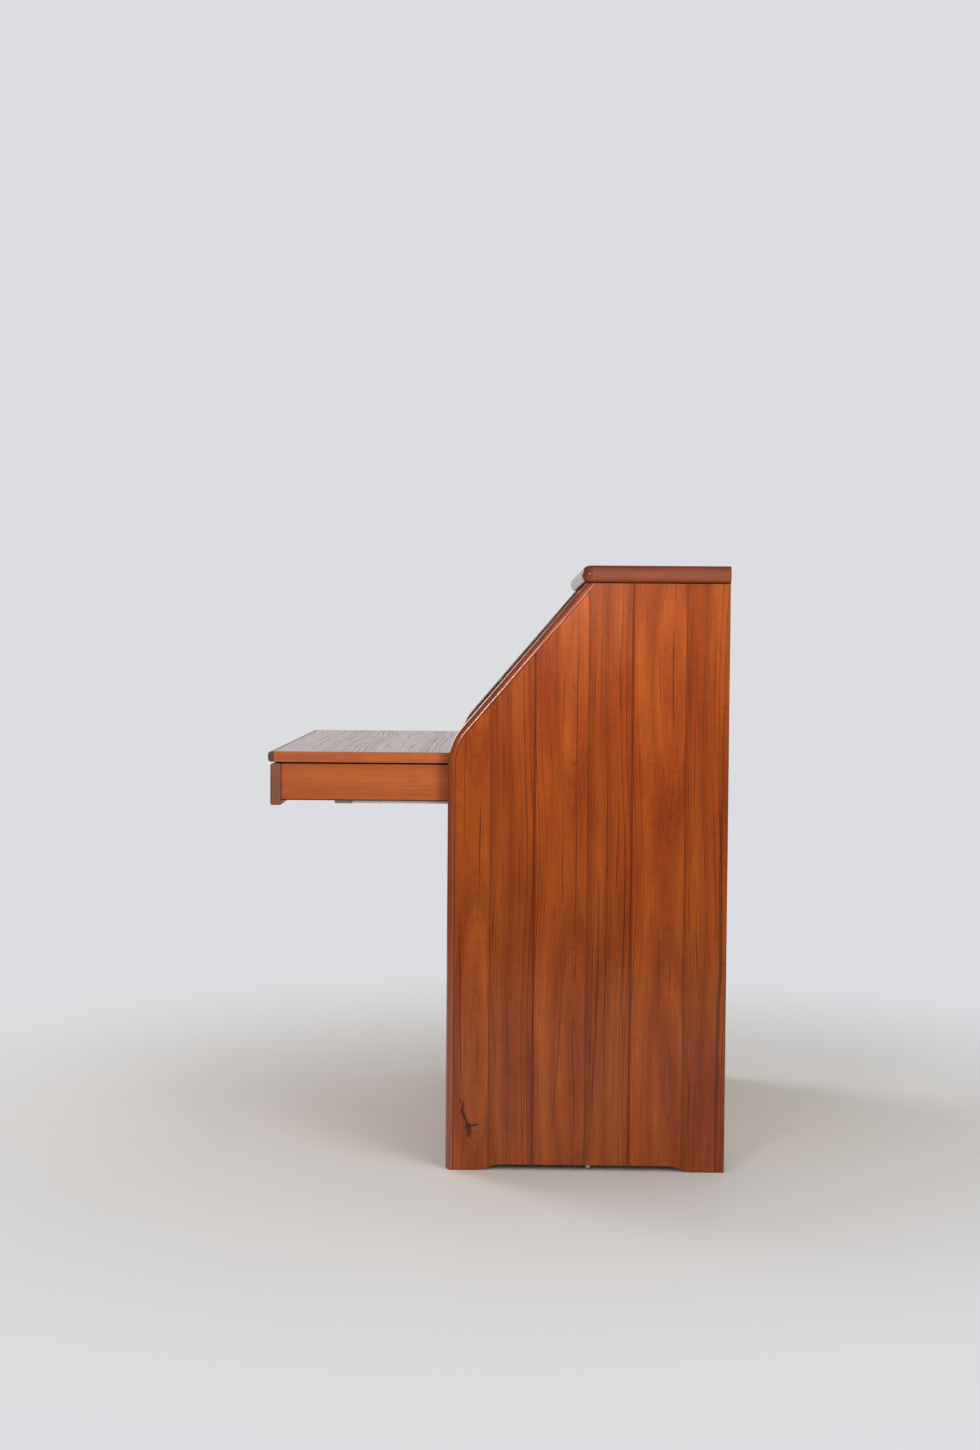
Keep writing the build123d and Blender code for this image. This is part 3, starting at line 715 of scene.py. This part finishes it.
# %% Back screws
back_low, back_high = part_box("back_panel")
edge_inset = 8 * millimetre
board_shares = (-0.66, -0.22, 0.22, 0.66)
column_shares = (0.05, 0.28, 0.5, 0.72, 0.95)
back_slot_turn = 53
back_head = Matrix.Diagonal((1.5, 1.5, 1.2, 1.0))
back_places = []
for node_name in ("bottom_board", "drawer_deck", "writing_bed", "carcass_top"):
    low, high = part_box(node_name)
    height = min((low.z + high.z) / 2, back_high.z - edge_inset)
    reach = back_high.x - 2 * edge_inset
    back_places += [(share * reach, height) for share in board_shares]
for side in (-1, 1):
    column = side * (back_high.x - edge_inset)
    tall = back_high.z - back_low.z
    back_places += [(column, back_low.z + share * tall) for share in column_shares]
for number, (across, height) in enumerate(back_places, 1):
    turn = turned_by(-90, "X") @ turned_by(back_slot_turn * number, "Z") @ back_head
    where = Matrix.Translation((across, back_high.y, height)) @ turn
    lay_copy(screw, f"back_screw_{number}", where, "case", zinc)
bpy.data.objects.remove(screw)
print("back screws:", len(back_places))

# %% [markdown]
# ## Glides and steel balls
#
# Under the middle of each side panel, where the edge is cut away, sits a nickel-plated glide, a dome
# on a collar that is nailed on and keeps the long edge from sagging. It is the bright spot in the
# dark gap. The slides run on steel balls that peep out of the nylon shoes. Both are half balls
# again, and the glide's collar is a cylinder with a bevelled rim, because a real one is pressed from
# sheet and has no sharp edge.

# %% Glides
panel_underside = 11 * millimetre
glide_radius = 5 * millimetre
dome_radius = 0.92 * glide_radius
collar_rise = 3 * millimetre
dome_drop = 5 * millimetre
dome = half_ball(dome_radius, dome_drop)
bpy.ops.object.select_all(action="DESELECT")
bpy.ops.mesh.primitive_cylinder_add(vertices=32, radius=glide_radius, depth=collar_rise)
glide = bpy.context.object
rim = glide.modifiers.new("rim", "BEVEL")
rim.width = 0.8 * millimetre
rim.segments = 3
bpy.ops.object.modifier_apply(modifier="rim")
glide.data.transform(Matrix.Translation((0.0, 0.0, -collar_rise / 2)))
dome.select_set(True)
bpy.ops.object.join()
for name, side in (("glide_left", -1), ("glide_right", 1)):
    place = Vector((side * (panel_low.x + panel_high.x) / 2, (panel_low.y + panel_high.y) / 2,
                    panel_underside - collar_rise))
    where = Matrix.Translation(place) @ turned_by(180, "X")
    lay_copy(glide, name, where, "case", nickel)
bpy.data.objects.remove(glide)
floor_gap = panel_underside - collar_rise - dome_drop
print("glides stand", round(floor_gap / millimetre, 1), "mm over the floor")

# %% Steel balls
ball_radius = 2.3 * millimetre
ball_sunk = 0.4 * millimetre
ball = half_ball(ball_radius, ball_radius)
shoe_low, shoe_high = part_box("slide_shoes")
shoe_middle = (shoe_low.z + shoe_high.z) / 2
ball_places = [shoe_low.y + distance * millimetre for distance in (9, 21)]
for side, side_name in ((-1, "left"), (1, "right")):
    for number, depth in enumerate(ball_places, 1):
        place = Vector((side * (shoe_high.x - ball_sunk), depth, shoe_middle))
        where = Matrix.Translation(place) @ turned_by(side * 90, "Y")
        lay_copy(ball, f"slide_ball_{side_name}_{number}", where, "slide_runner_pair",
                 steel)
bpy.data.objects.remove(ball)
print("balls:", 2 * len(ball_places))

# %% [markdown]
# ## Floor, light and camera
#
# The desk stands on a plain pale floor that fades into a pale surround, so nothing competes with it.
# A large soft light stands right of the camera and a narrow strip light left of it, as in a studio.
# The strip is turned parallel to the desk's slope, so that its mirror image is the light line along
# the rounded lipping. Two small lamps have a grid in front, which narrows their beam: one lifts the
# upper half of the panel, and one stands low and lights the underside of the top's edge. A narrow
# beam would glare in the satin wood from some sides, so these two are left out of reflections. A
# fifth lights the front and the far side. The last stands behind the camera, a little above it, and
# shows only as a pale veil over the top of the satin panel. The world adds an even fill and shows
# its own pale colour to the camera. Reflections see it bright only on the side beyond the desk, so
# that the flap mirrors that side at a low angle, while the panel, which looks the other way, into
# the dark, keeps its full colour. The camera has the place and lens that make this desk's edges fall
# where a photograph of its right-hand side has them.

# %% Floor
surround_tone = linear("#DCDDE0")
floor_radius = 2.6
fade_start = 0.5
fade_end = 2.0
mottle_size = 1 / 3
bpy.ops.object.select_all(action="DESELECT")
bpy.ops.mesh.primitive_circle_add(vertices=128, radius=floor_radius, fill_type="NGON",
                                  location=origin)
floor = bpy.context.object
floor.name = "floor"
floor_material, tree, shader, place = start_material("pale_floor")
mottle = node(tree, "ShaderNodeTexNoise", {"Vector": place.outputs["Object"],
                                           "Scale": 1 / mottle_size, "Detail": 4.0})
floor_tone = node(tree, "ShaderNodeMix", {"Factor": mottle.outputs[0], "A": linear("#F1EDE7"),
                                          "B": linear("#F6F3EE")}, data_type="RGBA")
tree.links.new(floor_tone.outputs["Result"], shader.inputs["Base Color"])
shader.inputs["Roughness"].default_value = 0.6
shader.inputs["Specular IOR Level"].default_value = 0.2
far_away = node(tree, "ShaderNodeVectorMath", {0: place.outputs["Object"]}, operation="LENGTH")
fade = node(tree, "ShaderNodeMapRange", {"Value": far_away.outputs["Value"], "From Min": fade_start,
                                         "From Max": fade_end}, interpolation_type="SMOOTHSTEP")
ray = node(tree, "ShaderNodeLightPath")
share = node(tree, "ShaderNodeMath", {0: fade.outputs[0], 1: ray.outputs["Is Camera Ray"]},
             operation="MULTIPLY")
haze = node(tree, "ShaderNodeEmission", {"Color": surround_tone})
faded = node(tree, "ShaderNodeMixShader", {0: share.outputs[0], 1: shader.outputs[0],
                                           2: haze.outputs[0]})
tree.links.new(faded.outputs[0], tree.nodes["Material Output"].inputs["Surface"])
floor.data.materials.append(floor_material)
print("floor:", floor.name)

# %% World
fill_strength = 0.52
bright_side_strength = 1.2
dark_side_strength = 0.1
bright_side_middle = -1.0
bright_side_edge = -0.7
world = bpy.data.worlds.new("studio")
bpy.context.scene.world = world
world.use_nodes = True
tree = world.node_tree
tree.nodes.clear()
ray = node(tree, "ShaderNodeLightPath")
direction = node(tree, "ShaderNodeTexCoord")
sides = node(tree, "ShaderNodeSeparateXYZ", {0: direction.outputs["Generated"]})
mirrored_room = node(tree, "ShaderNodeMapRange", {"Value": sides.outputs["X"],
                                                  "From Min": bright_side_middle,
                                                  "From Max": bright_side_edge,
                                                  "To Min": bright_side_strength,
                                                  "To Max": dark_side_strength})
fill_light = node(tree, "ShaderNodeBackground", {"Color": surround_tone, "Strength": fill_strength})
surround = node(tree, "ShaderNodeBackground", {"Color": surround_tone, "Strength": 1.0})
mirrored = node(tree, "ShaderNodeBackground", {"Color": surround_tone,
                                               "Strength": mirrored_room.outputs[0]})
glossy = node(tree, "ShaderNodeMixShader", {0: ray.outputs["Is Glossy Ray"],
                                            1: fill_light.outputs[0], 2: mirrored.outputs[0]})
shown = node(tree, "ShaderNodeMath", {0: ray.outputs["Is Camera Ray"],
                                      1: ray.outputs["Is Transmission Ray"]}, operation="MAXIMUM")
seen = node(tree, "ShaderNodeMixShader", {0: shown.outputs[0], 1: glossy.outputs[0],
                                          2: surround.outputs[0]})
node(tree, "ShaderNodeOutputWorld", {"Surface": seen.outputs[0]})
print("world:", world.name)

# %% Soft lights
open_spread = 180
desk_middle = (0.0, 0.0, 0.75)
panel_upper = (0.45, 0.04, 1.1)
top_edge = (0.45, 0.0, 1.15)
panel_top = (0.45, 0.0, 1.0)
# Each: name, place, target, width and height in metres, power in watts, spread and roll in degrees
lamps = (
    ("left_softbox", (3.8, -1.18, 1.62), desk_middle, 0.14, 0.7, 21, open_spread, -40),
    ("right_softbox", (2.8, 2.1, 1.8), desk_middle, 2.2, 2.6, 47, open_spread, 0),
    ("upper_softbox", (2.4, 1.5, 1.9), panel_upper, 0.8, 0.8, 0.8, 40, 0),
    ("low_softbox", (2.2, 1.8, 0.3), top_edge, 0.6, 0.6, 1.6, 25, 0),
    ("front_softbox", (-2.2, -2.6, 2.0), desk_middle, 1.4, 1.8, 50, open_spread, 0),
    ("veil_softbox", (5.5, 0.0, 1.55), panel_top, 1.0, 0.8, 10, open_spread, 0),
)


def soft_light(name, place, target, width, height, power, spread, roll):
    """An area lamp that looks at its target. One whose beam a grid narrows isn't mirrored."""
    lamp = bpy.data.lights.new(name, "AREA")
    lamp.shape = "RECTANGLE"
    lamp.size = width
    lamp.size_y = height
    lamp.energy = power
    lamp.spread = math.radians(spread)
    lamp_object = bpy.data.objects.new(name, lamp)
    lamp_object.location = place
    aim = (Vector(target) - Vector(place)).to_track_quat("-Z", "Y").to_matrix()
    lamp_object.rotation_euler = (aim @ Matrix.Rotation(math.radians(roll), 3, "Z")).to_euler()
    lamp_object.visible_glossy = spread == open_spread
    bpy.context.scene.collection.objects.link(lamp_object)


for lamp_row in lamps:
    soft_light(*lamp_row)
print("lights:", ", ".join(lamp_row[0] for lamp_row in lamps))

# %% Camera
image_height = 1450
focal_pixels = 2179.2
camera_place = Vector((4.3407, 0.0421, 0.9714))
camera_yaw = math.radians(-0.825)
camera_pitch = math.radians(-2.468)
camera_roll = math.radians(0.438)

forward = Vector((-math.cos(camera_pitch) * math.cos(camera_yaw),
                  math.cos(camera_pitch) * math.sin(camera_yaw), math.sin(camera_pitch)))
level_right = forward.cross(Vector((0.0, 0.0, 1.0))).normalized()
level_up = level_right.cross(forward)
right = level_right * math.cos(camera_roll) + level_up * math.sin(camera_roll)
up = level_up * math.cos(camera_roll) - level_right * math.sin(camera_roll)

lens = bpy.data.cameras.new("camera")
lens.sensor_fit = "VERTICAL"
lens.sensor_height = 36.0
lens.lens = lens.sensor_height * focal_pixels / image_height
camera = bpy.data.objects.new("camera", lens)
turned = Matrix((right, up, -forward)).transposed().to_4x4()
camera.matrix_world = Matrix.Translation(camera_place) @ turned
bpy.context.scene.collection.objects.link(camera)
bpy.context.scene.camera = camera
bpy.context.scene.view_settings.view_transform = "Standard"
print("lens", round(lens.lens, 1), "mm")
